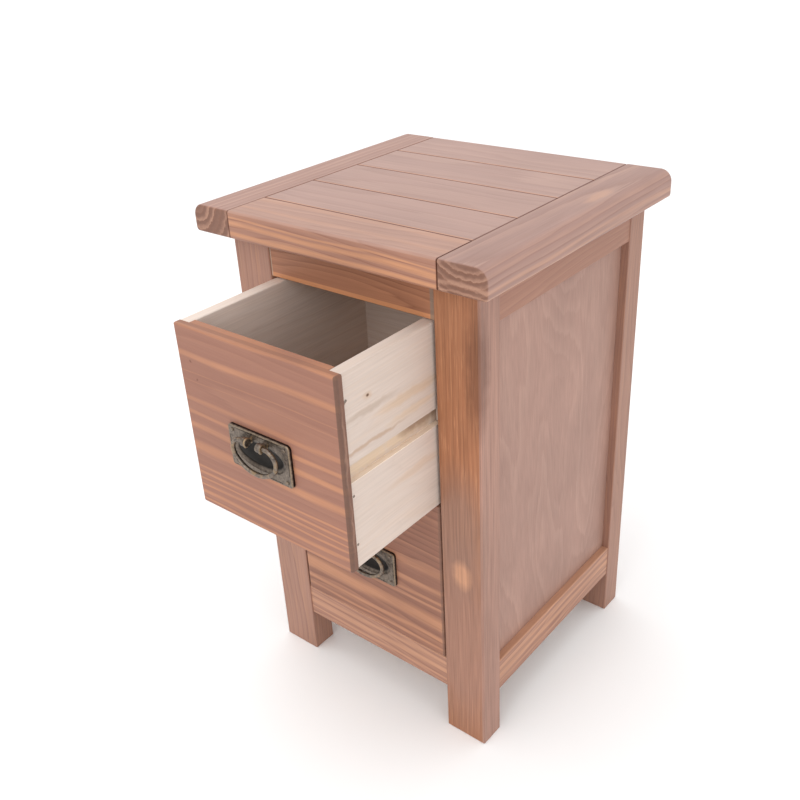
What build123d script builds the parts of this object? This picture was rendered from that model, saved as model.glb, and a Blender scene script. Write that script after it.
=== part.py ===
from build123d import *
from math import atan2, degrees
from typing import NamedTuple
import os

os.makedirs("parts", exist_ok=True)

# A small pine nightstand with two drawers, the upper one drawn out.
# Millimetres. X runs to the right, Y to the back and Z up. The origin is on the floor,
# in the middle of the four feet.

# ---- overall ----
height = 560.0
body_width = 300.0
body_depth = 298.0

# ---- top ----
top_thickness = 28.0
side_overhang = 25.0
front_overhang = 25.0
back_overhang = 2.5
border_width = 50.0
plank_count = 4
tongue_length = 6.0
tongue_thickness = 8.0
tongue_gap = 0.5
border_stop = 20.0
round_over = 12.0
under_round = 4.0
corner_round = 4.0
front_round = 2.5
seam_chamfer = 1.0

# ---- legs, rails and panels ----
leg_width = 49.0
leg_depth = 30.0
leg_chamfer = 0.8
rail_thickness = 20.0
top_rail_height = 42.0
bottom_rail_height = 40.0
floor_gap = 57.0
front_rail_setback = 1.5
side_rail_setback = 1.0
back_rail_setback = 1.0
tenon_thickness = 8.0
tenon_length = 15.0
tenon_shoulder = 8.0
mortise_gap = 1.0
fit_gap = 0.05
panel_thickness = 6.0
panel_setback = 9.0
panel_groove = 6.0
panel_gap = 0.5

# ---- cleats that hold the top down ----
cleat_size = 18.0
cleat_end_gap = 8.0
cleat_screw_count = 3
cleat_screw_pitch = 70.0
cleat_screw_stagger = 20.0

# ---- drawers ----
drawer_back_gap = 28.0
upper_drawer_opening = 126.0
front_thickness = 15.0
front_side_gap = 1.5
front_edge_gap = 1.5
front_middle_gap = 2.0
front_end_round = 2.5
front_long_round = 1.5
front_lip = 8.0
side_thickness = 12.5
side_inset = 1.5
back_thickness = 12.0
back_drop = 8.0
bottom_thickness = 4.0
bottom_rise = 12.0
bottom_groove = 5.0
bottom_gap = 0.5

# ---- runners ----
runner_height = 16.0
runner_rise = 90.7
runner_groove_depth = 5.5
runner_play = 0.5
runner_lift = 0.3
runner_drop = 1.2
runner_nose_gap = 0.5
runner_back_gap = 0.5
runner_screw_gap = 7.5
runner_chamfer = 0.4

# ---- screws and nails ----
screw_radius = 1.75
screw_head_radius = 3.4
screw_head_height = 2.4
screw_length = 26.0
nail_radius = 0.8
nail_head_radius = 1.4
nail_head_height = 0.8
nail_sink = 1.2
nail_length = 25.0
front_nail_setback = 11.5
nail_low_rise = 24.5
nail_under_runner = 15.2
nail_top_drop = 26.0

# ---- handles ----
plate_width = 78.0
plate_height = 43.5
plate_thickness = 3.5
plate_corner = 4.0
plate_bevel = 0.8
plate_drop = 8.0
bead_inset = 2.2
bead_width = 0.7
bead_depth = 0.6
bead_end_gap = 12.0
dish_margin_x = 6.0
dish_margin_z = 6.0
dish_slope = 5.0
dish_depth = 2.0
post_spacing = 19.0
post_rise = 14.5
post_reach = 9.8
post_radius = 3.0
post_flange_radius = 3.9
post_flange_height = 0.8
knuckle_radius = 4.4
knuckle_width = 6.5
knuckle_round = 1.2
finial_radius = 1.9
bail_half_width = 27.5
bail_drop = 31.0
bail_side_radius = 12.0
bail_radius = 2.2
bail_pin_radius = 1.4
bail_pin_length = 4.5
bail_pin_gap = 0.05
bail_end_gap = 0.3
handle_screw_radius = 1.5
handle_screw_bite = 6.0
handle_screw_head_radius = 3.6
handle_screw_head_height = 2.2
tack_inset_x = 6.0
tack_inset_z = 5.0
tack_radius = 0.8
tack_head_radius = 1.9
tack_head_height = 1.1
tack_head_round = 0.77
tack_length = 9.0

# ---- places worked out from the sizes above ----
half_width = body_width / 2
half_depth = body_depth / 2
under_top = height - top_thickness
leg_inner_x = half_width - leg_width
leg_inner_y = half_depth - leg_depth
bottom_rail_top = floor_gap + bottom_rail_height
top_rail_bottom = under_top - top_rail_height
rail_levels = {"bottom": (floor_gap, bottom_rail_top), "top": (top_rail_bottom, under_top)}

side_rail_x = half_width - side_rail_setback - rail_thickness / 2
front_rail_y = -half_depth + front_rail_setback + rail_thickness / 2
back_rail_y = half_depth - back_rail_setback - rail_thickness / 2
panel_outer = half_width - panel_setback
panel_inner = panel_outer - panel_thickness
back_panel_outer = half_depth - panel_setback
back_panel_inner = back_panel_outer - panel_thickness
groove_low = bottom_rail_top - panel_groove
groove_high = top_rail_bottom + panel_groove

top_half_width = half_width + side_overhang
top_front = -half_depth - front_overhang
top_back = half_depth + back_overhang
border_inner_x = top_half_width - border_width
plank_start = top_front + border_width
plank_width = (top_back - plank_start) / plank_count
tongue_low = height - top_thickness / 2 - tongue_thickness / 2
tongue_high = tongue_low + tongue_thickness

opening_height = top_rail_bottom - bottom_rail_top
front_height = (opening_height - 2 * front_edge_gap - front_middle_gap) / 2
front_half = leg_inner_x - front_side_gap
side_outer = front_half - side_inset
side_inner = side_outer - side_thickness
lower_drawer_z = bottom_rail_top + front_edge_gap
upper_drawer_z = lower_drawer_z + front_height + front_middle_gap
drawer_length = back_panel_inner - drawer_back_gap + half_depth
nail_rises = (nail_low_rise, runner_rise - nail_under_runner, front_height - nail_top_drop)

runner_inner_x = side_outer - runner_groove_depth + runner_play
runner_front = -half_depth + front_lip + runner_nose_gap
runner_back = back_panel_inner - runner_back_gap
runner_screw_y = runner_back - runner_screw_gap
cleat_inner_x = side_rail_x - rail_thickness / 2 - cleat_size
cleat_half = leg_inner_y - cleat_end_gap
post_hole_radius = post_radius + fit_gap
dish_width = plate_width - 2 * dish_margin_x
dish_height = plate_height - 2 * dish_margin_z
tack_spacing_x = plate_width - 2 * tack_inset_x
tack_spacing_z = plate_height - 2 * tack_inset_z


def bar(x0, x1, y0, y1, z0, z1, mode=Mode.ADD):
    """A square-edged bar between two corners, added to the open piece or cut from it."""
    with Locations(((x0 + x1) / 2, (y0 + y1) / 2, (z0 + z1) / 2)):
        Box(abs(x1 - x0), abs(y1 - y0), abs(z1 - z0), mode=mode)


def rod(place, radius, length, mode=Mode.ADD):
    """A round bar that starts on a plane and runs along its normal."""
    with Locations(place):
        Cylinder(radius, length, align=(Align.CENTER, Align.CENTER, Align.MIN), mode=mode)


def countersunk(place, grow=0.0, mode=Mode.ADD):
    """A countersunk wood screw with its head flush in the plane, driven along its normal."""
    with Locations(place):
        Cone(
            screw_head_radius + grow,
            screw_radius + grow,
            screw_head_height,
            align=(Align.CENTER, Align.CENTER, Align.MIN),
            mode=mode,
        )
    rod(place, screw_radius + grow, screw_length + grow, mode)


def save(piece, name):
    """Name a finished piece and write it out."""
    piece.part.label = name
    export_step(piece.part, f"parts/{name}.step")


# ---- top: a border on three sides round four planks ----


def cut_cleat_screws():
    """Cut the holes of the screws that come up through the cleats from the open piece."""
    for side in (-1, 1):
        for place in cleat_top_screw_places(side):
            countersunk(place, fit_gap, Mode.SUBTRACT)


def top_side_rail(side):
    """Left or right border rail: full depth, outer edge rounded over, grooved inside."""
    inner = side * border_inner_x
    outer = side * top_half_width
    with BuildPart() as rail:
        bar(inner, outer, top_front, top_back, under_top, height)
        outer_edges = rail.edges().filter_by(Axis.Y).group_by(Axis.X)[-1 if side > 0 else 0]
        fillet(outer_edges.sort_by(Axis.Z)[-1], round_over)
        low_edges = rail.edges().filter_by(Axis.Y).group_by(Axis.Z)[0]
        fillet(low_edges.sort_by(Axis.X)[-1 if side > 0 else 0], under_round)
        front_face = rail.faces().sort_by(Axis.Y)[0]
        fillet(front_face.edges().sort_by(Axis.Z)[-1], front_round)
        bar(
            inner,
            inner + side * (tongue_length + tongue_gap),
            top_front + border_stop,
            top_back,
            tongue_low,
            tongue_high,
            Mode.SUBTRACT,
        )
        top_edges = rail.edges().filter_by(Axis.Y).group_by(Axis.Z)[-1]
        chamfer(top_edges.sort_by(Axis.X)[0 if side > 0 else -1], seam_chamfer)
        cut_cleat_screws()
    return rail


def top_front_rail():
    """Front border rail between the side rails, with a tongue at its back and on both ends."""
    with BuildPart() as rail:
        bar(-border_inner_x, border_inner_x, top_front, plank_start, under_top, height)
        long_edges = rail.edges().filter_by(Axis.X)
        fillet(long_edges.group_by(Axis.Y)[0].sort_by(Axis.Z)[-1], front_round)
        fillet(long_edges.group_by(Axis.Y)[0].sort_by(Axis.Z)[0], front_round)
        chamfer(rail.edges().filter_by(Axis.X).group_by(Axis.Z)[-1].sort_by(Axis.Y)[-1], seam_chamfer)
        end_reach = border_inner_x + tongue_length
        tenon_front = top_front + border_stop + tongue_gap
        bar(-end_reach, end_reach, tenon_front, plank_start, tongue_low, tongue_high)
        tongue_back = plank_start + tongue_length
        bar(-border_inner_x, border_inner_x, plank_start, tongue_back, tongue_low, tongue_high)
        cut_cleat_screws()
    return rail


def top_plank(index):
    """One plank: a groove in front, a tongue behind and tongues into the side rails."""
    front = plank_start + index * plank_width
    back = front + plank_width
    with BuildPart() as plank:
        bar(-border_inner_x, border_inner_x, front, back, under_top, height)
        seam_edges = plank.edges().filter_by(Axis.X).group_by(Axis.Z)[-1]
        end_edges = plank.edges().filter_by(Axis.Y).group_by(Axis.Z)[-1]
        chamfer(seam_edges + end_edges, seam_chamfer)
        end_reach = border_inner_x + tongue_length
        bar(-end_reach, end_reach, front, back, tongue_low, tongue_high)
        if index < plank_count - 1:
            tongue_back = back + tongue_length
            bar(-border_inner_x, border_inner_x, back, tongue_back, tongue_low, tongue_high)
        groove_back = front + tongue_length + tongue_gap
        bar(-end_reach, end_reach, front, groove_back, tongue_low, tongue_high, Mode.SUBTRACT)
        cut_cleat_screws()
    return plank


# ---- frame: four legs, eight rails, three panels ----


def leg(side, end):
    """A straight leg with mortises for its rails and grooves for its panels."""
    inner_x = side * leg_inner_x
    inner_y = end * leg_inner_y
    rail_y = front_rail_y if end < 0 else back_rail_y
    mortise_depth = tenon_length + mortise_gap
    half_tenon = tenon_thickness / 2 + fit_gap
    with BuildPart() as post:
        bar(inner_x, side * half_width, inner_y, end * half_depth, 0, under_top)
        chamfer(post.edges().filter_by(Axis.Z), leg_chamfer)
        chamfer(post.faces().sort_by(Axis.Z)[0].edges(), leg_chamfer)
        for low, high in rail_levels.values():
            tenon_low = low + tenon_shoulder - fit_gap
            tenon_high = high - tenon_shoulder + fit_gap
            bar(
                inner_x,
                inner_x + side * mortise_depth,
                rail_y - half_tenon,
                rail_y + half_tenon,
                tenon_low,
                tenon_high,
                Mode.SUBTRACT,
            )
            bar(
                side * side_rail_x - half_tenon,
                side * side_rail_x + half_tenon,
                inner_y,
                inner_y + end * mortise_depth,
                tenon_low,
                tenon_high,
                Mode.SUBTRACT,
            )
        bar(
            side * (panel_inner - fit_gap),
            side * (panel_outer + fit_gap),
            inner_y,
            inner_y + end * panel_groove,
            groove_low,
            groove_high,
            Mode.SUBTRACT,
        )
        if end > 0:
            bar(
                inner_x,
                inner_x + side * panel_groove,
                back_panel_inner - fit_gap,
                back_panel_outer + fit_gap,
                groove_low,
                groove_high,
                Mode.SUBTRACT,
            )
        for place in runner_screw_places(side, end):
            countersunk(place, fit_gap, Mode.SUBTRACT)
    return post


def cross_rail(rail_y, low, high, groove_edge=None):
    """A front or back rail between two legs, with a tenon on each end."""
    reach = leg_inner_x + tenon_length
    half_tenon = tenon_thickness / 2
    with BuildPart() as rail:
        front = rail_y - rail_thickness / 2
        bar(-leg_inner_x, leg_inner_x, front, front + rail_thickness, low, high)
        chamfer(rail.edges().filter_by(Axis.X), leg_chamfer)
        tenon_low = low + tenon_shoulder
        tenon_high = high - tenon_shoulder
        bar(-reach, reach, rail_y - half_tenon, rail_y + half_tenon, tenon_low, tenon_high)
        if groove_edge is not None:
            panel_edge = high if groove_edge > (low + high) / 2 else low
            bar(
                -leg_inner_x,
                leg_inner_x,
                back_panel_inner - fit_gap,
                back_panel_outer + fit_gap,
                groove_edge,
                panel_edge,
                Mode.SUBTRACT,
            )
    return rail


def side_rail(side, low, high, groove_edge):
    """A side rail between a front and a back leg, grooved along the edge that holds the panel."""
    reach = leg_inner_y + tenon_length
    half_tenon = tenon_thickness / 2
    middle = side * side_rail_x
    panel_edge = high if groove_edge > (low + high) / 2 else low
    with BuildPart() as rail:
        bar(
            middle - rail_thickness / 2,
            middle + rail_thickness / 2,
            -leg_inner_y,
            leg_inner_y,
            low,
            high,
        )
        chamfer(rail.edges().filter_by(Axis.Y), leg_chamfer)
        tenon_low = low + tenon_shoulder
        tenon_high = high - tenon_shoulder
        bar(middle - half_tenon, middle + half_tenon, -reach, reach, tenon_low, tenon_high)
        bar(
            side * (panel_inner - fit_gap),
            side * (panel_outer + fit_gap),
            -leg_inner_y,
            leg_inner_y,
            groove_edge,
            panel_edge,
            Mode.SUBTRACT,
        )
        if high == under_top:
            for place in cleat_side_screw_places(side):
                countersunk(place, fit_gap, Mode.SUBTRACT)
    return rail


def side_panel(side):
    """A thin side panel held in the grooves of two legs and two rails."""
    reach = leg_inner_y + panel_groove - panel_gap
    with BuildPart() as panel:
        bar(
            side * panel_inner,
            side * panel_outer,
            -reach,
            reach,
            groove_low + panel_gap,
            groove_high - panel_gap,
        )
    return panel


def back_panel():
    """The thin back panel, held like the side panels."""
    reach = leg_inner_x + panel_groove - panel_gap
    with BuildPart() as panel:
        bar(
            -reach,
            reach,
            back_panel_inner,
            back_panel_outer,
            groove_low + panel_gap,
            groove_high - panel_gap,
        )
    return panel


# ---- cleats under the top, and their screws ----


def cleat_screw_rows():
    """Where the screws sit along a cleat."""
    first = -cleat_screw_pitch * (cleat_screw_count - 1) / 2
    return [first + index * cleat_screw_pitch for index in range(cleat_screw_count)]


def cleat_side_screw_places(side):
    """Planes of the screws that go outward through a cleat into its rail."""
    x = side * cleat_inner_x
    z = under_top - cleat_size / 2
    rows = [y + cleat_screw_stagger / 2 for y in cleat_screw_rows()]
    return [Plane(origin=(x, y, z), z_dir=(side, 0, 0)) for y in rows]


def cleat_top_screw_places(side):
    """Planes of the screws that go up through a cleat into the top."""
    x = side * (cleat_inner_x + cleat_size / 2)
    z = under_top - cleat_size
    rows = [y - cleat_screw_stagger / 2 for y in cleat_screw_rows()]
    return [Plane(origin=(x, y, z), z_dir=(0, 0, 1)) for y in rows]


def cleat(side):
    """A square strip in the corner between a side's top rail and the top."""
    with BuildPart() as strip:
        inner = side * cleat_inner_x
        outer = inner + side * cleat_size
        bar(inner, outer, -cleat_half, cleat_half, under_top - cleat_size, under_top)
        for place in cleat_side_screw_places(side) + cleat_top_screw_places(side):
            countersunk(place, fit_gap, Mode.SUBTRACT)
    return strip


def cleat_screws():
    """All the screws of both cleats."""
    with BuildPart() as screws:
        for side in (-1, 1):
            for place in cleat_side_screw_places(side) + cleat_top_screw_places(side):
                countersunk(place)
    return screws


# ---- runners that carry the drawers, and their screws ----


def runner_screw_places(side, end):
    """Planes of the screws that fix both runners of one side to one leg."""
    levels = [z + runner_rise + runner_height / 2 for z in (lower_drawer_z, upper_drawer_z)]
    x = side * runner_inner_x
    return [Plane(origin=(x, end * runner_screw_y, z), z_dir=(side, 0, 0)) for z in levels]


def runner(side, drawer_z):
    """A strip between a front and a back leg that runs in the groove of a drawer's side."""
    low = drawer_z + runner_rise
    with BuildPart() as strip:
        bar(
            side * runner_inner_x,
            side * leg_inner_x,
            runner_front,
            runner_back,
            low,
            low + runner_height,
        )
        inner_edges = strip.edges().filter_by(Axis.Y).group_by(Axis.X)[0 if side > 0 else -1]
        chamfer(inner_edges, runner_chamfer)
        for end in (-1, 1):
            for place in runner_screw_places(side, end):
                countersunk(place, fit_gap, Mode.SUBTRACT)
    return strip


def runner_screws():
    """All the screws that fix the runners to the legs."""
    with BuildPart() as screws:
        for side in (-1, 1):
            for end in (-1, 1):
                for place in runner_screw_places(side, end):
                    countersunk(place)
    return screws


# ---- drawer boxes ----


class Drawer(NamedTuple):
    """Where a drawer is: its low edge and its front face."""

    base_z: float
    face_y: float


def nail(place, grow=0.0, mode=Mode.ADD):
    """A nail with its head sunk below the plane; as a cut it also clears the sunk head."""
    start = nail_sink if mode == Mode.ADD else 0.0
    head_place = place.offset(start)
    rod(head_place, nail_head_radius + grow, nail_sink + nail_head_height + grow - start, mode)
    rod(place.offset(nail_sink), nail_radius + grow, nail_length + grow, mode)


def drawer_nail_places(drawer):
    """Planes of a drawer's nails: through the sides at both ends, and up through the bottom."""
    back_y = drawer.face_y + drawer_length - back_thickness / 2
    places = []
    for side in (-1, 1):
        for y in (drawer.face_y + front_nail_setback, back_y):
            for rise in nail_rises:
                origin = (side * side_outer, y, drawer.base_z + rise)
                places.append(Plane(origin=origin, z_dir=(-side, 0, 0)))
        origin = (side * side_inner / 2, back_y, drawer.base_z + bottom_rise)
        places.append(Plane(origin=origin, z_dir=(0, 0, 1)))
    return places


def cut_nail_holes(drawer):
    """Cut the holes of one drawer's nails from the open piece."""
    for place in drawer_nail_places(drawer):
        nail(place, fit_gap, Mode.SUBTRACT)


def drawer_front(drawer):
    """The front board: rounded front edges, a rabbet at each end and a groove for the bottom."""
    top_z = drawer.base_z + front_height
    back_y = drawer.face_y + front_thickness
    with BuildPart() as board:
        bar(-front_half, front_half, drawer.face_y, back_y, drawer.base_z, top_z)
        fillet(board.faces().sort_by(Axis.Y)[0].edges().filter_by(Axis.Z), front_end_round)
        fillet(board.faces().sort_by(Axis.Y)[0].edges().filter_by(Axis.X), front_long_round)
        for side in (-1, 1):
            bar(
                side * side_inner,
                side * front_half,
                drawer.face_y + front_lip,
                back_y,
                drawer.base_z,
                top_z,
                Mode.SUBTRACT,
            )
        bar(
            -side_inner,
            side_inner,
            back_y - bottom_groove,
            back_y,
            drawer.base_z + bottom_rise - fit_gap,
            drawer.base_z + bottom_rise + bottom_thickness + fit_gap,
            Mode.SUBTRACT,
        )
        cut_nail_holes(drawer)
        for x, z in post_places(drawer):
            screw_place = Plane(origin=(x, back_y, z), z_dir=(0, -1, 0))
            rod(screw_place, handle_screw_radius + fit_gap, front_thickness, Mode.SUBTRACT)
        for x, z in tack_places(drawer):
            tack_place = Plane(origin=(x, drawer.face_y, z), z_dir=(0, 1, 0))
            rod(tack_place, tack_radius + fit_gap, tack_length, Mode.SUBTRACT)
    return board


def drawer_side(side, drawer):
    """A side board with a long groove for the runner outside and one for the bottom inside."""
    front_y = drawer.face_y + front_lip
    back_y = drawer.face_y + drawer_length
    with BuildPart() as board:
        bar(
            side * side_inner,
            side * side_outer,
            front_y,
            back_y,
            drawer.base_z,
            drawer.base_z + front_height,
        )
        chamfer(board.edges().filter_by(Axis.Y), leg_chamfer)
        bar(
            side * (side_outer - runner_groove_depth),
            side * side_outer,
            front_y,
            back_y,
            drawer.base_z + runner_rise - runner_drop,
            drawer.base_z + runner_rise + runner_height + runner_lift,
            Mode.SUBTRACT,
        )
        bar(
            side * side_inner,
            side * (side_inner + bottom_groove),
            front_y,
            back_y,
            drawer.base_z + bottom_rise - fit_gap,
            drawer.base_z + bottom_rise + bottom_thickness + fit_gap,
            Mode.SUBTRACT,
        )
        cut_nail_holes(drawer)
    return board


def drawer_back(drawer):
    """The back board, standing on the bottom between the sides."""
    back_y = drawer.face_y + drawer_length
    with BuildPart() as board:
        bar(
            -side_inner,
            side_inner,
            back_y - back_thickness,
            back_y,
            drawer.base_z + bottom_rise + bottom_thickness,
            drawer.base_z + front_height - back_drop,
        )
        cut_nail_holes(drawer)
    return board


def drawer_bottom(drawer):
    """The thin bottom, in the grooves of the sides and the front."""
    reach = side_inner + bottom_groove - bottom_gap
    with BuildPart() as board:
        bar(
            -reach,
            reach,
            drawer.face_y + front_thickness - bottom_groove + bottom_gap,
            drawer.face_y + drawer_length,
            drawer.base_z + bottom_rise,
            drawer.base_z + bottom_rise + bottom_thickness,
        )
        cut_nail_holes(drawer)
    return board


def drawer_nails(drawer):
    """All the nails of one drawer."""
    with BuildPart() as nails:
        for place in drawer_nail_places(drawer):
            nail(place)
    return nails


# ---- handles: a backplate, two posts and a bail that swings from them ----


def plate_middle(drawer):
    """Height of a backplate's middle."""
    return drawer.base_z + front_height / 2 - plate_drop


def post_places(drawer):
    """Where the two posts stand on the front."""
    z = plate_middle(drawer) + post_rise
    return [(side * post_spacing / 2, z) for side in (-1, 1)]


def tack_places(drawer):
    """Where the four corner tacks go."""
    middle = plate_middle(drawer)
    offsets = [(a, b) for a in (-tack_spacing_x / 2, tack_spacing_x / 2) for b in (-1, 1)]
    return [(a, middle + b * tack_spacing_z / 2) for a, b in offsets]


def handle_plate(drawer):
    """A flat backplate with a bead line along each edge and a dished oval in the middle."""
    middle = plate_middle(drawer)
    front_y = drawer.face_y - plate_thickness
    outward = Plane(origin=(0, drawer.face_y, middle), x_dir=(1, 0, 0), z_dir=(0, -1, 0))
    face_plane = outward.offset(plate_thickness)
    bead_x = plate_width / 2 - bead_inset
    bead_z = plate_height / 2 - bead_inset
    with BuildPart() as plate:
        with BuildSketch(outward):
            RectangleRounded(plate_width, plate_height, plate_corner)
        extrude(amount=plate_thickness)
        chamfer(plate.faces().sort_by(Axis.Y)[0].edges(), plate_bevel)
        with BuildSketch(face_plane):
            with Locations((0, bead_z), (0, -bead_z)):
                Rectangle(plate_width - 2 * bead_end_gap, bead_width)
            with Locations((bead_x, 0), (-bead_x, 0)):
                Rectangle(bead_width, plate_height - 2 * bead_end_gap)
        extrude(amount=-bead_depth, mode=Mode.SUBTRACT)
        with BuildSketch(face_plane):
            Ellipse(dish_width / 2, dish_height / 2)
        with BuildSketch(face_plane.offset(-dish_depth)):
            Ellipse(dish_width / 2 - dish_slope, dish_height / 2 - dish_slope)
        loft(mode=Mode.SUBTRACT)
        for x, z in post_places(drawer):
            post_place = Plane(origin=(x, drawer.face_y, z), z_dir=(0, -1, 0))
            rod(post_place, post_hole_radius, plate_thickness, Mode.SUBTRACT)
        for x, z in tack_places(drawer):
            tack_place = Plane(origin=(x, front_y, z), z_dir=(0, 1, 0))
            rod(tack_place, tack_radius + fit_gap, plate_thickness, Mode.SUBTRACT)
    return plate


def handle_posts(drawer):
    """Two posts with knuckles on their ends, each bored for a bail's pin and for its screw."""
    pivot_y = drawer.face_y - post_reach
    with BuildPart() as posts:
        for x, z in post_places(drawer):
            knuckle_place = Plane(origin=(x - knuckle_width / 2, pivot_y, z), z_dir=(1, 0, 0))
            rod(knuckle_place, knuckle_radius, knuckle_width)
        fillet(posts.edges().filter_by(GeomType.CIRCLE), knuckle_round)
        for x, z in post_places(drawer):
            base_place = Plane(origin=(x, drawer.face_y, z), z_dir=(0, -1, 0))
            rod(base_place, post_radius, post_reach)
            rod(base_place.offset(plate_thickness), post_flange_radius, post_flange_height)
            with Locations((x, pivot_y, z - knuckle_radius)):
                Sphere(finial_radius)
            outward = 1 if x > 0 else -1
            pin_mouth = Plane(
                origin=(x + outward * knuckle_width / 2, pivot_y, z), z_dir=(-outward, 0, 0)
            )
            pin_depth = bail_pin_length - bail_end_gap + fit_gap
            rod(pin_mouth, bail_pin_radius + bail_pin_gap, pin_depth, Mode.SUBTRACT)
            screw_depth = handle_screw_bite + fit_gap
            rod(base_place, handle_screw_radius + fit_gap, screw_depth, Mode.SUBTRACT)
    return posts


def handle_screws(drawer):
    """Machine screws that come through the front from inside the drawer into the posts."""
    back_y = drawer.face_y + front_thickness
    with BuildPart() as screws:
        for x, z in post_places(drawer):
            place = Plane(origin=(x, back_y, z), z_dir=(0, -1, 0))
            rod(place.offset(-handle_screw_head_height), handle_screw_head_radius, handle_screw_head_height)
            rod(place, handle_screw_radius, front_thickness + handle_screw_bite)
    return screws


def handle_tacks(drawer):
    """Four round-headed tacks in the corners of a backplate."""
    front_y = drawer.face_y - plate_thickness
    with BuildPart() as tacks:
        for x, z in tack_places(drawer):
            rod(Plane(origin=(x, front_y, z), z_dir=(0, -1, 0)), tack_head_radius, tack_head_height)
        outer_edges = tacks.edges().filter_by(GeomType.CIRCLE).group_by(Axis.Y)[0]
        fillet(outer_edges, tack_head_round)
        for x, z in tack_places(drawer):
            rod(Plane(origin=(x, front_y, z), z_dir=(0, 1, 0)), tack_radius, tack_length)
    return tacks


def handle_bail(drawer):
    """An oval bail of round bar, hanging from a pin at each end."""
    pivot_z = plate_middle(drawer) + post_rise
    end_x = post_spacing / 2 + knuckle_width / 2 + bail_end_gap
    centre_x = bail_half_width - bail_side_radius
    fall = bail_drop - bail_side_radius
    bottom_radius = (centre_x**2 + fall**2 - bail_side_radius**2) / (2 * (fall - bail_side_radius))
    half_bottom = degrees(atan2(centre_x, bottom_radius - fall))
    pivot_y = drawer.face_y - post_reach
    hang = Plane(origin=(0, pivot_y, pivot_z), x_dir=(1, 0, 0), z_dir=(0, -1, 0))
    with BuildPart() as ring:
        with BuildLine(hang) as line:
            start = Line((-end_x, 0), (-centre_x, 0))
            left = JernArc(start @ 1, start % 1, bail_side_radius, 180 - half_bottom)
            low = JernArc(left @ 1, left % 1, bottom_radius, 2 * half_bottom)
            right = JernArc(low @ 1, low % 1, bail_side_radius, 180 - half_bottom)
            Line(right @ 1, (end_x, 0))
        with BuildSketch(Plane(origin=start @ 0, z_dir=start % 0)):
            Circle(bail_radius)
        sweep(path=line.wires()[0])
        for side in (-1, 1):
            pin_place = Plane(origin=(side * end_x, pivot_y, pivot_z), z_dir=(-side, 0, 0))
            rod(pin_place, bail_pin_radius, bail_pin_length)
    return ring


# ---- build every piece ----

for side, word in ((-1, "left"), (1, "right")):
    save(top_side_rail(side), f"top_{word}_rail")
    for end, end_word in ((-1, "front"), (1, "back")):
        save(leg(side, end), f"{end_word}_{word}_leg")
    low, high = rail_levels["bottom"]
    save(side_rail(side, low, high, groove_low), f"{word}_bottom_rail")
    low, high = rail_levels["top"]
    save(side_rail(side, low, high, groove_high), f"{word}_top_rail")
    save(side_panel(side), f"{word}_panel")
    save(cleat(side), f"{word}_cleat")
    save(runner(side, lower_drawer_z), f"lower_{word}_runner")
    save(runner(side, upper_drawer_z), f"upper_{word}_runner")

save(top_front_rail(), "top_front_rail")
for index in range(plank_count):
    save(top_plank(index), f"top_plank_{index + 1}")
for level, groove in (("bottom", groove_low), ("top", groove_high)):
    low, high = rail_levels[level]
    save(cross_rail(front_rail_y, low, high), f"front_{level}_rail")
    save(cross_rail(back_rail_y, low, high, groove), f"back_{level}_rail")
save(back_panel(), "back_panel")
save(cleat_screws(), "cleat_screws")
save(runner_screws(), "runner_screws")

upper_face_y = -half_depth - upper_drawer_opening
for word, drawer in (
    ("lower", Drawer(lower_drawer_z, -half_depth)),
    ("upper", Drawer(upper_drawer_z, upper_face_y)),
):
    save(drawer_front(drawer), f"{word}_drawer_front")
    save(drawer_side(-1, drawer), f"{word}_drawer_left_side")
    save(drawer_side(1, drawer), f"{word}_drawer_right_side")
    save(drawer_back(drawer), f"{word}_drawer_back")
    save(drawer_bottom(drawer), f"{word}_drawer_bottom")
    save(drawer_nails(drawer), f"{word}_drawer_nails")
    save(handle_plate(drawer), f"{word}_handle_plate")
    save(handle_posts(drawer), f"{word}_handle_posts")
    save(handle_screws(drawer), f"{word}_handle_screws")
    save(handle_tacks(drawer), f"{word}_handle_tacks")
    save(handle_bail(drawer), f"{word}_handle_bail")
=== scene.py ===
import math

import bmesh
import bpy
from mathutils import Matrix, Vector


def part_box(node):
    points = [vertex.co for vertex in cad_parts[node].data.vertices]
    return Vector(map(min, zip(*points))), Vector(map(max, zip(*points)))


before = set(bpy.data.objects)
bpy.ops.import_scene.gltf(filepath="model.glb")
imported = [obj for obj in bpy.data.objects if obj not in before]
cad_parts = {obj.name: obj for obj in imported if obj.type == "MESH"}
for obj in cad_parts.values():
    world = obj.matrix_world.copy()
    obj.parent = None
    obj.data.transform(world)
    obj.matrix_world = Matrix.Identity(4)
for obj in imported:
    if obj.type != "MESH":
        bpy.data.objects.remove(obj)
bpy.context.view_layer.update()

# ---- Camera ----
# A short telephoto to the front right, 0.82 m above the floor. It looks down past the front right
# leg and is tilted a little to one side.
camera_place = (0.56497, -0.74032, 0.82409)
camera_turn = math.radians(40.6508)
camera_dip = math.radians(-28.6215)
camera_roll = math.radians(-3.2802)
look = Vector((
    -math.sin(camera_turn) * math.cos(camera_dip),
    math.cos(camera_turn) * math.cos(camera_dip),
    math.sin(camera_dip),
))
level = Vector((math.cos(camera_turn), math.sin(camera_turn), 0.0))
upright = level.cross(look)
right = math.cos(camera_roll) * level + math.sin(camera_roll) * upright
up = -math.sin(camera_roll) * level + math.cos(camera_roll) * upright
lens = bpy.data.cameras.new("camera")
lens.sensor_width = 36.0
lens.lens = 42.473
lens.clip_start = 0.01
camera = bpy.data.objects.new("camera", lens)
camera.matrix_world = Matrix((
    (right.x, up.x, -look.x, camera_place[0]),
    (right.y, up.y, -look.y, camera_place[1]),
    (right.z, up.z, -look.z, camera_place[2]),
    (0.0, 0.0, 0.0, 1.0),
))
bpy.context.scene.collection.objects.link(camera)
bpy.context.scene.camera = camera

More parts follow.
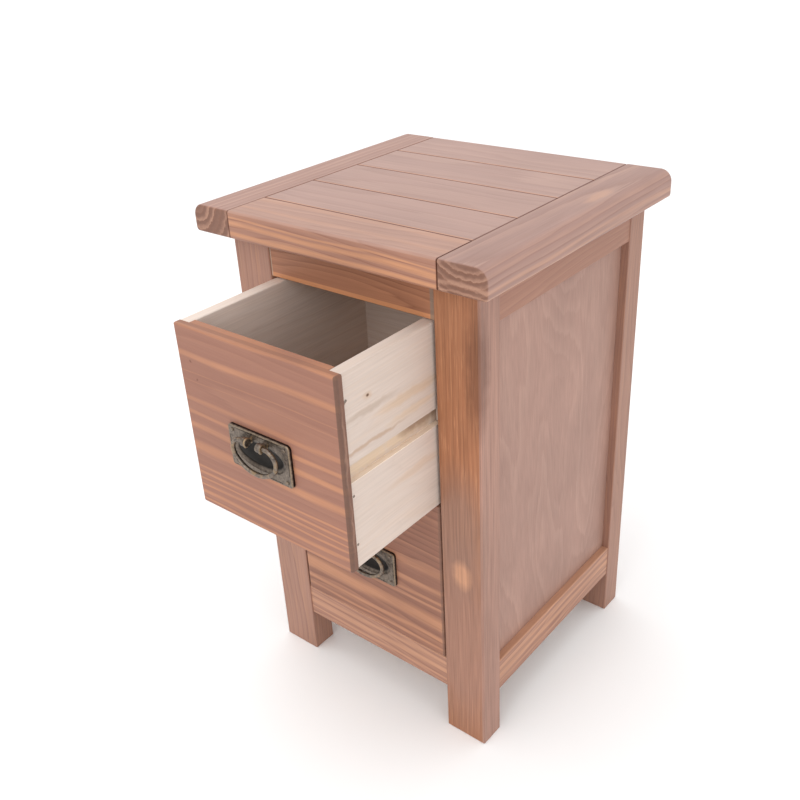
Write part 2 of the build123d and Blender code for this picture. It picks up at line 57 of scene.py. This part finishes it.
# ---- Floor and light ----
# A plain white floor under a bright even sky, with a large soft lamp above, one in front that
# reaches into the drawer and a weak one on the right, as in a product studio.
bpy.context.scene.view_settings.view_transform = "Standard"
floor_mesh = bpy.data.meshes.new("floor")
floor_radius = 9.0
ground = bmesh.new()
bmesh.ops.create_circle(ground, cap_ends=True, segments=64, radius=floor_radius)
ground.to_mesh(floor_mesh)
ground.free()
floor = bpy.data.objects.new("floor", floor_mesh)
bpy.context.scene.collection.objects.link(floor)
floor_paint = bpy.data.materials.new("floor_paint")
floor_paint.use_nodes = True
floor_shader = floor_paint.node_tree.nodes["Principled BSDF"]
floor_shader.inputs["Base Color"].default_value = (0.97, 0.97, 0.97, 1)
floor_shader.inputs["Roughness"].default_value = 0.9
floor_mesh.materials.append(floor_paint)

sky = bpy.data.worlds.new("sky")
sky.use_nodes = True
backdrop = sky.node_tree.nodes["Background"]
backdrop.inputs["Color"].default_value = (1.0, 1.0, 1.0, 1)
backdrop.inputs["Strength"].default_value = 1.12
bpy.context.scene.world = sky


def soft_lamp(name, place, target, size, power):
    """A square lamp that faces a point."""
    light = bpy.data.lights.new(name, "AREA")
    light.size = size
    light.energy = power
    lamp = bpy.data.objects.new(name, light)
    lamp.location = place
    lamp.rotation_euler = (Vector(target) - Vector(place)).to_track_quat("-Z", "Y").to_euler()
    bpy.context.scene.collection.objects.link(lamp)


soft_lamp("lamp_top", (-0.3, -0.4, 2.4), (0.0, 0.0, 0.3), 1.6, 6.0)
soft_lamp("lamp_front", (0.1, -2.0, 1.5), (0.0, -0.1, 0.3), 1.2, 8.0)
soft_lamp("lamp_right", (2.0, -0.4, 0.9), (0.1, 0.0, 0.3), 1.2, 2.0)


# ---- Border of the top ----
# Three solid pine rails under a pink-brown water stain and a satin lacquer. Their outer edges are
# rounded over, the ends of the side rails show end grain, and stain gathers along the seams.
X, Y, Z = range(3)


def tint(red, green, blue):
    """A linear colour from its usual values of 0 to 255."""
    return tuple(((value / 255 + 0.055) / 1.055) ** 2.4 for value in (red, green, blue))


def fill(tree, sockets, values):
    """Link or set each socket of a node."""
    for socket, value in zip(sockets, values):
        if isinstance(value, bpy.types.NodeSocket):
            tree.links.new(value, socket)
        else:
            socket.default_value = value


def maths(tree, kind, a, b=0.0, clamp=False):
    """One sum of two numbers."""
    node = tree.nodes.new("ShaderNodeMath")
    node.operation = kind
    node.use_clamp = clamp
    fill(tree, node.inputs, (a, b))
    return node.outputs[0]


def vectors(tree, kind, a, b=(0.0, 0.0, 0.0)):
    """One sum of two vectors, or a vector's length."""
    node = tree.nodes.new("ShaderNodeVectorMath")
    node.operation = kind
    fill(tree, node.inputs, (a, b))
    return node.outputs["Value" if kind == "LENGTH" else "Vector"]


def noise(tree, place, stretch, detail, out="Fac"):
    """Smooth noise over a place that is first multiplied by a stretch."""
    node = tree.nodes.new("ShaderNodeTexNoise")
    node.inputs["Scale"].default_value = 1.0
    node.inputs["Detail"].default_value = detail
    tree.links.new(vectors(tree, "MULTIPLY", place, stretch), node.inputs["Vector"])
    return node.outputs[out]


def layer(tree, amount, under, over):
    """One colour laid over another."""
    node = tree.nodes.new("ShaderNodeMix")
    node.data_type = "RGBA"
    under, over = ((*c, 1.0) if isinstance(c, tuple) else c for c in (under, over))
    fill(tree, (node.inputs[0], node.inputs[6], node.inputs[7]), (amount, under, over))
    return node.outputs[2]


def ramp(tree, value, stops):
    """A curve through stops given as (value in, value out)."""
    node = tree.nodes.new("ShaderNodeValToRGB")
    elements = node.color_ramp.elements
    elements[0].position, elements[1].position = stops[0][0], stops[-1][0]
    elements[0].color = (*[stops[0][1]] * 3, 1)
    elements[1].color = (*[stops[-1][1]] * 3, 1)
    for place, level in stops[1:-1]:
        elements.new(place).color = (level, level, level, 1)
    tree.links.new(value, node.inputs["Fac"])
    return node.outputs["Color"]


def band(tree, coordinate, where, half):
    """1 within half a width of a place, falling to 0 at its edges."""
    edge = min(0.6 * half, 0.0008)
    off = maths(tree, "ABSOLUTE", maths(tree, "SUBTRACT", coordinate, where))
    return maths(tree, "DIVIDE", maths(tree, "SUBTRACT", half, off), edge, clamp=True)


def marks(tree, place, colour, bands, spots):
    """Bands (axis, where, half width, colour, amount) and spots (middle, radii, colour, amount)
    of other colours over a colour."""
    shake = vectors(
        tree, "SUBTRACT", noise(tree, place, (70.0, 70.0, 70.0), 2.0, "Color"), (0.5, 0.5, 0.5))
    shaky = vectors(tree, "ADD", place, vectors(tree, "MULTIPLY", shake, (0.008, 0.008, 0.008)))
    split = tree.nodes.new("ShaderNodeSeparateXYZ")
    tree.links.new(place, split.inputs[0])
    for axis, where, half, tone, amount in bands:
        cover = band(tree, split.outputs[axis], where, half)
        colour = layer(tree, maths(tree, "MULTIPLY", cover, amount), colour, tone)
    for middle, radii, tone, amount in spots:
        off = vectors(tree, "LENGTH", vectors(
            tree, "DIVIDE", vectors(tree, "SUBTRACT", shaky, tuple(middle)), radii))
        cover = maths(tree, "SUBTRACT", 1.8, maths(tree, "MULTIPLY", off, 1.8), clamp=True)
        colour = layer(tree, maths(tree, "MULTIPLY", cover, amount), colour, tone)
    return colour


TURNS = {"X": (0.0, math.pi / 2, 0.0), "Y": (math.pi / 2, 0.0, 0.0), "Z": (0.0, 0.0, 0.0)}


def pine(name, along, heart, base, stripe, dark, ring, lean=(0.0, 0.0), wander=0.010,
         strength=0.8, lines=0.5, fleck=0.0, cloud=0.10, fibre=0.16, streaks=(), ends=(),
         end_tone=None, bands=(), spots=(), rough=0.46, coat=0.08):
    """Pine with growth rings round a heart line that runs along the board and leans a little. Each
    ring has its own strength, with a lighter stripe and a thin dark line. Streaks (axis, where,
    half width, amount) are broad stripes that wander along the board and fade in places, and ends
    (axis, where) are sawn ends, darker and with stronger rings."""
    material = bpy.data.materials.new(name)
    material.use_nodes = True
    tree = material.node_tree
    shader = tree.nodes["Principled BSDF"]
    place = tree.nodes.new("ShaderNodeTexCoord").outputs["Object"]
    turn = TURNS[along]
    centre = tree.nodes.new("ShaderNodeMapping")
    centre.vector_type = "TEXTURE"
    centre.inputs["Location"].default_value = heart
    centre.inputs["Rotation"].default_value = (turn[0] + lean[0], turn[1] + lean[1], turn[2])
    tree.links.new(place, centre.inputs["Vector"])
    local = centre.outputs["Vector"]

    # The rings, bent by slow noise and roughened by quick noise.
    bend = vectors(
        tree, "SUBTRACT", noise(tree, local, (14.0, 14.0, 3.0), 1.5, "Color"), (0.5, 0.5, 0.5))
    bent = vectors(
        tree, "ADD", local, vectors(tree, "MULTIPLY", bend, (wander * 4, wander * 4, 0.0)))
    reach = vectors(tree, "LENGTH", vectors(tree, "MULTIPLY", bent, (1.0, 1.0, 0.0)))
    wobble = noise(tree, local, (230.0, 230.0, 11.0), 3.0)
    rings = maths(
        tree, "ADD", maths(tree, "DIVIDE", reach, ring), maths(tree, "MULTIPLY", wobble, 0.7))
    phase = maths(tree, "FRACT", rings)
    chance = tree.nodes.new("ShaderNodeTexWhiteNoise")
    chance.noise_dimensions = "1D"
    tree.links.new(maths(tree, "FLOOR", rings), chance.inputs["W"])
    odds = chance.outputs["Value"]
    light = maths(tree, "MULTIPLY", ramp(tree, phase, [
        (0.0, 0.0), (0.35, 0.08), (0.70, 0.75), (0.86, 1.0), (0.95, 0.35), (1.0, 0.0),
    ]), maths(tree, "ADD", maths(tree, "MULTIPLY", odds, 0.95), 0.12))
    line = maths(tree, "MULTIPLY", ramp(tree, phase, [
        (0.0, 0.9), (0.10, 0.5), (0.26, 0.0), (0.90, 0.0), (0.97, 1.0), (1.0, 0.9),
    ]), maths(tree, "SUBTRACT", 1.05, odds))

    # The board's own colour, its sawn ends and its rings.
    split = tree.nodes.new("ShaderNodeSeparateXYZ")
    tree.links.new(place, split.inputs[0])
    colour, light_share, line_share = base, strength, lines
    for axis, where in ends:
        sawn = band(tree, split.outputs[axis], where, 0.0014)
        colour = layer(tree, maths(tree, "MULTIPLY", sawn, 0.85), colour, end_tone)
        light_share = maths(tree, "ADD", light_share, maths(tree, "MULTIPLY", sawn, 0.30))
        line_share = maths(tree, "ADD", line_share, maths(tree, "MULTIPLY", sawn, 0.35))
    colour = layer(tree, maths(tree, "MULTIPLY", light, light_share, clamp=True), colour, stripe)
    colour = layer(tree, maths(tree, "MULTIPLY", line, line_share, clamp=True), colour, dark)

    # Broad streaks, which drift to either side of their place by as much as their noises vary.
    hair = noise(tree, local, (620.0, 620.0, 16.0), 4.0)
    clouds = noise(tree, local, (17.0, 17.0, 8.0), 3.0)
    slow, quick, fine = 0.012, 0.0026, 0.0020
    drift = maths(
        tree, "ADD", maths(tree, "MULTIPLY", noise(tree, local, (20.0, 20.0, 6.0), 1.5), slow),
        maths(
            tree, "ADD", maths(tree, "MULTIPLY", wobble, quick),
            maths(tree, "MULTIPLY", hair, fine)))
    mean_drift = (slow + quick + fine) / 2
    patchy = maths(tree, "ADD", maths(tree, "MULTIPLY", clouds, 1.3), 0.30)
    for axis, where, half, amount in streaks:
        off = maths(tree, "ABSOLUTE", maths(
            tree, "SUBTRACT", maths(tree, "ADD", split.outputs[axis], drift), where + mean_drift))
        cover = maths(tree, "SUBTRACT", 1.5, maths(tree, "MULTIPLY", off, 1.5 / half), clamp=True)
        cover = maths(tree, "MULTIPLY", cover, patchy)
        colour = layer(tree, maths(tree, "MULTIPLY", cover, amount, clamp=True), colour, stripe)
    if fleck:
        dashes = ramp(
            tree, noise(tree, local, (700.0, 700.0, 34.0), 2.0), [(0.56, 0.0), (0.70, 1.0)])
        colour = layer(tree, maths(tree, "MULTIPLY", dashes, fleck), colour, stripe)
    colour = marks(tree, place, colour, bands, spots)

    # Fibre and clouds over all of it, then the sheen of the lacquer.
    tone = maths(
        tree, "MULTIPLY",
        maths(tree, "ADD", maths(tree, "MULTIPLY", hair, fibre * 2), 1.0 - fibre),
        maths(tree, "ADD", maths(tree, "MULTIPLY", clouds, cloud * 2), 1.0 - cloud))
    shade = tree.nodes.new("ShaderNodeVectorMath")
    shade.operation = "SCALE"
    fill(tree, (shade.inputs[0], shade.inputs["Scale"]), (colour, tone))
    tree.links.new(shade.outputs["Vector"], shader.inputs["Base Color"])
    tree.links.new(
        maths(tree, "SUBTRACT", rough + 0.05, maths(tree, "MULTIPLY", light, 0.1)),
        shader.inputs["Roughness"])
    shader.inputs["Specular IOR Level"].default_value = 0.25
    shader.inputs["Coat Weight"].default_value = coat
    shader.inputs["Coat Roughness"].default_value = 0.35
    bump = tree.nodes.new("ShaderNodeBump")
    bump.inputs["Strength"].default_value = 0.3
    bump.inputs["Distance"].default_value = 0.0005
    tree.links.new(
        maths(tree, "ADD", maths(tree, "MULTIPLY", light, 0.6), maths(tree, "MULTIPLY", hair, 0.6)),
        bump.inputs["Height"])
    tree.links.new(bump.outputs["Normal"], shader.inputs["Normal"])
    return material


def finish_node(node, material):
    """Give a CAD piece its material."""
    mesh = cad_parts[node].data
    mesh.materials.clear()
    mesh.materials.append(material)


def sides_of(node):
    """The low corner, the high corner and the middle of a CAD piece."""
    low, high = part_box(node)
    return Vector(low), Vector(high), (Vector(low) + Vector(high)) / 2


top_stripe = tint(190, 146, 122)
top_dark = tint(132, 90, 72)
seam_tone = tint(90, 48, 32)
lit_edge = tint(206, 150, 112)
sawn_tone = tint(112, 76, 60)
tongue = 0.006

low, high, middle = sides_of("top_front_rail")
finish_node("top_front_rail", pine(
    "top_front_rail_wood", "X", middle + Vector((0.0, 0.040, -0.060)), tint(160, 117, 99),
    tint(196, 142, 108), tint(132, 84, 66), ring=0.0042, lean=(0.0, 0.03), wander=0.007,
    strength=0.40, lines=0.55, cloud=0.12,
    # Three stripes along the front edge, then two along the upper face.
    streaks=[
        (Z, high.z - 0.0080, 0.0016, 0.8),
        (Z, high.z - 0.0135, 0.0034, 0.9),
        (Z, high.z - 0.0230, 0.0028, 0.9),
        (Y, low.y + 0.0180, 0.0050, 0.5),
        (Y, low.y + 0.0440, 0.0070, 0.6),
    ],
    # A painted sheen that makes the upper face paler, then the seams with the planks and with the
    # side rails.
    bands=[
        (Z, high.z, 0.0022, tint(178, 146, 134), 0.45),
        (Y, high.y - tongue, 0.0012, seam_tone, 0.8),
        (X, high.x - tongue, 0.0010, seam_tone, 0.8),
        (X, low.x + tongue, 0.0010, seam_tone, 0.8),
    ]))
low, high, middle = sides_of("top_left_rail")
finish_node("top_left_rail", pine(
    "top_left_rail_wood", "Y", Vector((low.x + 0.004, middle.y, high.z + 0.004)),
    tint(164, 128, 116), top_stripe, top_dark, ring=0.0085, wander=0.004, strength=0.34,
    lines=0.35, cloud=0.10, ends=[(Y, low.y)], end_tone=sawn_tone,
    bands=[(X, high.x, 0.0012, seam_tone, 0.75)]))
low, high, middle = sides_of("top_right_rail")
finish_node("top_right_rail", pine(
    "top_right_rail_wood", "Y", Vector((middle.x + 0.008, middle.y, high.z + 0.055)),
    tint(158, 125, 115), tint(190, 147, 124), top_dark, ring=0.0060, lean=(0.02, 0.0),
    wander=0.006, strength=0.42, lines=0.50, cloud=0.10, ends=[(Y, low.y)], end_tone=sawn_tone,
    bands=[(X, low.x, 0.0012, seam_tone, 0.75)],
    streaks=[(Z, high.z - 0.0180, 0.0030, 0.5), (Z, high.z - 0.0250, 0.0016, 0.4)],
    # A pale patch behind the middle of the upper face.
    spots=[((middle.x + 0.004, middle.y + 0.05, high.z), (0.008, 0.030, 0.006), top_stripe, 0.6)]))

# ---- Planks of the top ----
# Four pine boards, tongued and grooved together, with small bevels along their seams. They are
# nearly plain in figure and have the same stain as the border.
for index in range(1, 5):
    node = f"top_plank_{index}"
    low, high, middle = sides_of(node)
    heart = middle + Vector((0.02 * index, 0.05 * index - 0.12, -0.13 - 0.02 * index))
    finish_node(node, pine(
        node + "_wood", "X", heart, tint(167, 135, 125), top_stripe, top_dark, ring=0.0080,
        strength=0.22, lines=0.18, cloud=0.13,
        # Dark stain in the front seam and its lit bevel, then the seams with the side rails.
        bands=[
            (Y, low.y, 0.0013, seam_tone, 0.85),
            (Y, low.y + 0.0019, 0.0011, lit_edge, 0.55),
            (X, low.x + tongue, 0.0012, seam_tone, 0.7),
            (X, high.x - tongue, 0.0012, seam_tone, 0.7),
        ]))

# ---- Legs ----
# Straight pine posts, mortised for the rails and stained like the top. The front right one has an
# oval knot low down, in a greyer patch.
leg_stripe = tint(180, 130, 100)
leg_dark = tint(104, 64, 46)
face_line = tint(134, 98, 84)
low, high, middle = sides_of("front_right_leg")
finish_node("front_right_leg", pine(
    "front_right_leg_wood", "Z", middle + Vector((-0.060, 0.075, 0.0)), tint(160, 107, 77),
    tint(196, 141, 104), leg_dark, ring=0.0034, wander=0.006, strength=0.32, lines=0.28, fleck=0.50,
    cloud=0.16, fibre=0.42,
    # The greyer lower half, the patch round the knot, the knot, and a dark patch under the top.
    spots=[
        ((middle.x, low.y, low.z + 0.130), (0.060, 0.030, 0.150), tint(153, 115, 100), 0.75),
        ((low.x + 0.020, low.y, low.z + 0.270), (0.040, 0.020, 0.090), tint(140, 108, 94), 0.65),
        ((low.x + 0.024, low.y, low.z + 0.221), (0.0140, 0.012, 0.0210), tint(196, 144, 112), 0.85),
        ((high.x - 0.004, low.y, low.z + 0.452), (0.016, 0.016, 0.080), tint(104, 66, 50), 0.6),
    ],
    # The pinker outer face and two faint lines down it.
    bands=[
        (X, high.x, 0.0030, tint(162, 126, 113), 0.85),
        (Y, low.y + 0.0150, 0.0012, face_line, 0.3),
        (Y, low.y + 0.0075, 0.0010, face_line, 0.25),
    ]))
for node, offset in (
    ("front_left_leg", (0.035, 0.060, 0.0)),
    ("back_right_leg", (-0.060, -0.060, 0.0)),
    ("back_left_leg", (-0.035, -0.055, 0.0)),
):
    finish_node(node, pine(
        node + "_wood", "Z", sides_of(node)[2] + Vector(offset), tint(156, 117, 101), leg_stripe,
        leg_dark, ring=0.0040, strength=0.38, lines=0.30, fleck=0.30, cloud=0.12, fibre=0.22))

# ---- Rails of the frame ----
# Pine rails tenoned into the legs, with their long edges eased. The bottom ones are boldly striped,
# and the front top rail has a light lower edge and a little dried glue at its ends.
rail_base = tint(157, 114, 96)
rail_stripe = tint(192, 144, 115)
rail_dark = tint(118, 74, 56)
low, high, middle = sides_of("front_top_rail")
finish_node("front_top_rail", pine(
    "front_top_rail_wood", "X", middle + Vector((0.0, 0.030, -0.030)), tint(160, 109, 83),
    tint(182, 127, 94), tint(108, 66, 48), ring=0.0046, wander=0.012, strength=0.7, lines=0.6,
    # The light lower edge, then the glue at the right end and at the left end.
    bands=[
        (Z, low.z + 0.001, 0.0045, tint(208, 144, 100), 0.8),
        (X, high.x - 0.0175, 0.0026, tint(128, 116, 104), 0.7),
        (X, low.x + 0.0155, 0.0012, tint(196, 180, 164), 0.6),
    ]))
for node, along, offset, strength in (
    ("front_bottom_rail", "X", (0.0, 0.030, -0.045), 0.60),
    ("back_top_rail", "X", (0.0, -0.030, 0.055), 0.5),
    ("back_bottom_rail", "X", (0.0, -0.030, -0.050), 0.6),
    ("left_top_rail", "Y", (0.030, 0.0, 0.050), 0.5),
    ("left_bottom_rail", "Y", (0.030, 0.0, -0.040), 0.60),
    ("right_top_rail", "Y", (-0.050, 0.0, 0.090), 0.25),
    ("right_bottom_rail", "Y", (-0.030, 0.0, -0.050), 0.60),
):
    low, high, middle = sides_of(node)
    streaks = []
    if "bottom" in node:
        streaks = [
            (Z, low.z + 0.010, 0.0022, 0.6),
            (Z, low.z + 0.020, 0.0042, 0.8),
            (Z, low.z + 0.030, 0.0035, 0.7),
        ]
    finish_node(node, pine(
        node + "_wood", along, middle + Vector(offset), rail_base, rail_stripe, rail_dark,
        ring=0.0052, lean=(0.0, 0.06) if along == "X" else (0.06, 0.0), wander=0.013,
        strength=strength, lines=strength * 0.7, streaks=streaks,
        bands=[(Z, high.z, 0.0020, rail_stripe, 0.7)]))

# ---- Side and back panels ----
# Thin boards with a peeled face, stained evenly, in the grooves of the frame. The figure is large
# and faint, as on the rotary cut face of plywood.
for node, offset in (
    ("right_panel", (-0.110, 0.02, 0.0)),
    ("left_panel", (0.110, -0.03, 0.0)),
    ("back_panel", (0.02, -0.110, 0.0)),
):
    finish_node(node, pine(
        node + "_wood", "Z", sides_of(node)[2] + Vector(offset), tint(160, 125, 112),
        tint(180, 142, 125), tint(140, 104, 92), ring=0.0120, lean=(0.05, 0.07), wander=0.040,
        strength=0.35, lines=0.14, cloud=0.22, fleck=0.16, fibre=0.20))

# ---- Cleats and runners ----
# Bare pale softwood strips, planed but not stained. The cleats hold the top, and the runners carry
# the drawers by the grooves in their sides.
for node in (
    "left_cleat", "right_cleat", "lower_left_runner", "lower_right_runner", "upper_left_runner",
    "upper_right_runner",
):
    finish_node(node, pine(
        node + "_wood", "Y", sides_of(node)[2] + Vector((0.03, 0.0, 0.05)), tint(222, 206, 194),
        tint(200, 172, 148), tint(168, 138, 116), ring=0.0035, strength=0.35, lines=0.2,
        rough=0.65, coat=0.0))

# ---- Drawer sides ----
# Bare boards glued up edge to edge, pale with faint tan streaks, grooved for the runners. The upper
# drawer's right side has two small knots near the front and a grey streak below them.
grey_streak, brown_streak = tint(186, 166, 150), tint(176, 142, 114)
tan_streak, pale_streak, low_streak = tint(206, 176, 146), tint(212, 184, 156), tint(206, 178, 154)
# The tan wood of the groove, and the brown of a painted shadow in the groove near the cabinet.
groove_tan, groove_shadow = tint(218, 192, 162), tint(146, 116, 94)
low, high, middle = sides_of("upper_drawer_right_side")
face = high.x
front = low.y
groove = high.x - 0.0055
knot = (face, front + 0.0310, high.z - 0.0325)
finish_node("upper_drawer_right_side", pine(
    "upper_drawer_right_side_wood", "Y", middle + Vector((-0.080, 0.0, -0.030)),
    tint(210, 194, 183), tint(208, 182, 160), tint(186, 156, 136), ring=0.0042, wander=0.014,
    strength=0.30, lines=0.16, cloud=0.09, fibre=0.12, rough=0.6, coat=0.0,
    # The lit lower edge of the groove.
    bands=[(Z, low.z + 0.0895, 0.0007, tint(244, 226, 206), 0.9)],
    spots=[
        # A knot with its paler ring, and a smaller one beside the front.
        (knot, (0.004, 0.0075, 0.0045), tint(204, 176, 152), 0.7),
        (knot, (0.004, 0.0026, 0.0022), tint(92, 62, 44), 0.95),
        ((face, front + 0.0020, high.z - 0.0260), (0.004, 0.0034, 0.0030), tint(110, 84, 66), 0.8),
        # The grey streak and three brown ones above the groove.
        ((face, front + 0.0300, high.z - 0.0455), (0.006, 0.0450, 0.0042), grey_streak, 0.6),
        ((face, front + 0.0850, high.z - 0.0555), (0.006, 0.0600, 0.0060), tan_streak, 0.6),
        ((face, front + 0.0300, high.z - 0.0765), (0.006, 0.0600, 0.0028), brown_streak, 0.55),
        ((face, front + 0.0900, high.z - 0.0715), (0.006, 0.0450, 0.0050), pale_streak, 0.6),
        # The tan floor of the groove, with a painted shadow in it near the cabinet, and a streak
        # below the groove.
        ((groove, front + 0.0600, low.z + 0.0975), (0.003, 0.1200, 0.0100), groove_tan, 0.75),
        ((groove, front + 0.1050, low.z + 0.1015), (0.004, 0.0400, 0.0100), groove_shadow, 0.75),
        ((face, front + 0.0900, low.z + 0.0595), (0.006, 0.0500, 0.0060), low_streak, 0.5),
    ]))
for node, along, offset in (
    ("upper_drawer_left_side", "Y", (0.10, 0.0, 0.05)),
    ("lower_drawer_left_side", "Y", (0.10, 0.0, 0.05)),
    ("lower_drawer_right_side", "Y", (-0.12, 0.0, 0.02)),
    ("upper_drawer_back", "X", (0.0, 0.12, 0.05)),
    ("lower_drawer_back", "X", (0.0, 0.12, -0.05)),
):
    finish_node(node, pine(
        node + "_wood", along, sides_of(node)[2] + Vector(offset), tint(226, 211, 200),
        tint(208, 182, 160), tint(186, 156, 134), ring=0.0045, strength=0.35, lines=0.2, cloud=0.06,
        rough=0.62, coat=0.0))

# ---- Drawer bottoms ----
# Thin bare plywood, a little browner than the sides. Each slides into the grooves of its drawer's
# box and is nailed up into the back.
for node in ("upper_drawer_bottom", "lower_drawer_bottom"):
    finish_node(node, pine(
        node + "_wood", "X", sides_of(node)[2] + Vector((0.0, 0.0, -0.16)), tint(219, 184, 156),
        tint(200, 162, 134), tint(176, 140, 114), ring=0.0060, wander=0.030, strength=0.4,
        lines=0.2, rough=0.6, coat=0.0))

# ---- Drawer fronts ----
# Wide pine boards, stained, with rounded ends that show end grain. The upper one is nearly plain
# above and closely striped in its lowest quarter; the lower one is boldly striped all over.
upper_streaks = (  # height above the lower edge, half width, amount
    (0.1655, 0.0045, 0.75), (0.1465, 0.0009, 0.50), (0.1375, 0.0008, 0.35), (0.1175, 0.0034, 0.60),
    (0.1020, 0.0034, 0.85), (0.0870, 0.0042, 0.90), (0.0665, 0.0062, 0.85), (0.0435, 0.0019, 0.80),
    (0.0360, 0.0022, 0.90), (0.0290, 0.0018, 0.90), (0.0225, 0.0018, 0.90), (0.0135, 0.0030, 0.85),
    (0.0040, 0.0020, 0.80), (0.1940, 0.0030, 0.70),
)
nail_hole = tint(110, 66, 48)
chipped = tint(164, 128, 108)
low, high, middle = sides_of("upper_drawer_front")
finish_node("upper_drawer_front", pine(
    "upper_drawer_front_wood", "X", Vector((middle.x, low.y + 0.062, high.z - 0.062)),
    tint(147, 102, 85), tint(178, 124, 93), tint(118, 76, 60), ring=0.0072, lean=(0.0, 0.045),
    wander=0.007, strength=0.20, lines=0.16, cloud=0.09, fibre=0.10,
    streaks=[(Z, low.z + rise, half, amount) for rise, half, amount in upper_streaks],
    # The end grain at the right, and the browner edges behind the rounding.
    bands=[
        (X, high.x, 0.0028, tint(100, 74, 62), 0.85),
        (Y, low.y + 0.006, 0.0030, tint(128, 90, 74), 0.5),
    ],
    # Two pin holes at the upper left, and chipped stain down the right end.
    spots=[
        ((low.x + 0.016, low.y, high.z - 0.036), (0.0024, 0.004, 0.0020), nail_hole, 0.8),
        ((low.x + 0.022, low.y, high.z - 0.052), (0.0018, 0.004, 0.0018), nail_hole, 0.7),
        ((high.x, low.y + 0.005, low.z + 0.1255), (0.003, 0.0020, 0.0500), chipped, 0.45),
        ((high.x, low.y + 0.005, low.z + 0.0455), (0.003, 0.0016, 0.0350), chipped, 0.4),
    ]))
lower_streaks = (
    (0.0095, 0.0020, 0.7), (0.0205, 0.0036, 0.8), (0.0415, 0.0105, 0.9), (0.0615, 0.0025, 0.6),
    (0.0705, 0.0030, 0.6), (0.0845, 0.0040, 0.6), (0.1065, 0.0060, 0.5),
)
low, high, middle = sides_of("lower_drawer_front")
finish_node("lower_drawer_front", pine(
    "lower_drawer_front_wood", "X", Vector((middle.x, low.y + 0.050, low.z - 0.030)),
    tint(138, 95, 78), tint(182, 130, 99), tint(100, 62, 48), ring=0.0085, lean=(0.0, 0.05),
    wander=0.012, strength=0.45, lines=0.45, cloud=0.10,
    streaks=[(Z, low.z + rise, half, amount) for rise, half, amount in lower_streaks],
    bands=[(X, high.x, 0.0028, tint(118, 88, 74), 0.7)]))

# ---- Handles ----
# Cast backplates, posts, tacks and bails with a brown-black antique finish, rubbed through to brass
# along the bails. The brass on the rims of the plates and on the knuckles is partly rubbed brass
# and partly painted highlight.


def antique(name, rubbed, bands=(), rough=0.40):
    """Dark metal that shows brass where it has been rubbed."""
    material = bpy.data.materials.new(name)
    material.use_nodes = True
    tree = material.node_tree
    shader = tree.nodes["Principled BSDF"]
    place = tree.nodes.new("ShaderNodeTexCoord").outputs["Object"]
    grime = noise(tree, place, (420.0, 420.0, 420.0), 3.0)
    cast = ramp(tree, grime, [(0.30, 0.0), (0.70, 1.0)])
    colour = layer(tree, cast, tint(86, 77, 70), tint(136, 123, 111))
    worn = ramp(tree, noise(tree, place, (160.0, 160.0, 160.0), 2.0), [(0.50, 0.0), (0.68, 1.0)])
    colour = layer(tree, maths(tree, "MULTIPLY", worn, rubbed), colour, tint(168, 140, 104))
    colour = marks(tree, place, colour, bands, ())
    tree.links.new(colour, shader.inputs["Base Color"])
    shader.inputs["Metallic"].default_value = 0.85
    tree.links.new(
        maths(tree, "ADD", rough - 0.08, maths(tree, "MULTIPLY", grime, 0.2)),
        shader.inputs["Roughness"])
    bump = tree.nodes.new("ShaderNodeBump")
    bump.inputs["Strength"].default_value = 0.15
    bump.inputs["Distance"].default_value = 0.0002
    tree.links.new(grime, bump.inputs["Height"])
    tree.links.new(bump.outputs["Normal"], shader.inputs["Normal"])
    return material


# The colour of rubbed brass, also used for painted highlights on the rims.
brass = tint(176, 148, 110)
rim = 0.0008
for word in ("upper", "lower"):
    low, high, middle = sides_of(f"{word}_handle_plate")
    # Brass on the right, upper and left rims, partly rubbed brass and partly painted highlight on
    # their bevels, and dirt in the joint with the board.
    finish_node(f"{word}_handle_plate", antique(f"{word}_plate_metal", 0.05, bands=[
        (X, high.x - rim, 0.0007, brass, 0.35),
        (Z, high.z - rim, 0.0006, brass, 0.25),
        (X, low.x + rim, 0.0007, brass, 0.20),
        (Y, high.y, 0.0024, tint(22, 18, 16), 0.95),
    ]))
    low, high, middle = sides_of(f"{word}_handle_posts")
    # Brass on the right rim of each knuckle, partly rubbed brass and partly a painted highlight
    # where its front turns to its side, and brass underneath.
    finish_node(f"{word}_handle_posts", antique(f"{word}_post_metal", 0.12, bands=[
        (X, low.x + 0.0063, 0.0009, brass, 0.6),
        (X, high.x - 0.0002, 0.0009, brass, 0.6),
        (Z, low.z + 0.0010, 0.0016, brass, 0.4),
    ]))
    finish_node(f"{word}_handle_tacks", antique(f"{word}_tack_metal", 0.35))
    finish_node(f"{word}_handle_bail", antique(f"{word}_bail_metal", 0.55, rough=0.34))

# ---- Screws and nails ----
# Zinc plated steel, mostly out of sight: the screws of the runners, cleats and handles, and the
# nails of the drawer boxes, whose heads are sunk into the wood.


def steel(name):
    """Zinc plated steel, faintly mottled."""
    material = bpy.data.materials.new(name)
    material.use_nodes = True
    tree = material.node_tree
    shader = tree.nodes["Principled BSDF"]
    place = tree.nodes.new("ShaderNodeTexCoord").outputs["Object"]
    mottle = noise(tree, place, (500.0, 500.0, 500.0), 3.0)
    colour = layer(tree, mottle, tint(140, 138, 132), tint(196, 196, 194))
    tree.links.new(colour, shader.inputs["Base Color"])
    shader.inputs["Metallic"].default_value = 0.95
    tree.links.new(
        maths(tree, "ADD", 0.26, maths(tree, "MULTIPLY", mottle, 0.2)), shader.inputs["Roughness"])
    return material


zinc = steel("zinc_steel")
for node in (
    "cleat_screws", "runner_screws", "upper_handle_screws", "lower_handle_screws",
    "upper_drawer_nails", "lower_drawer_nails",
):
    finish_node(node, zinc)
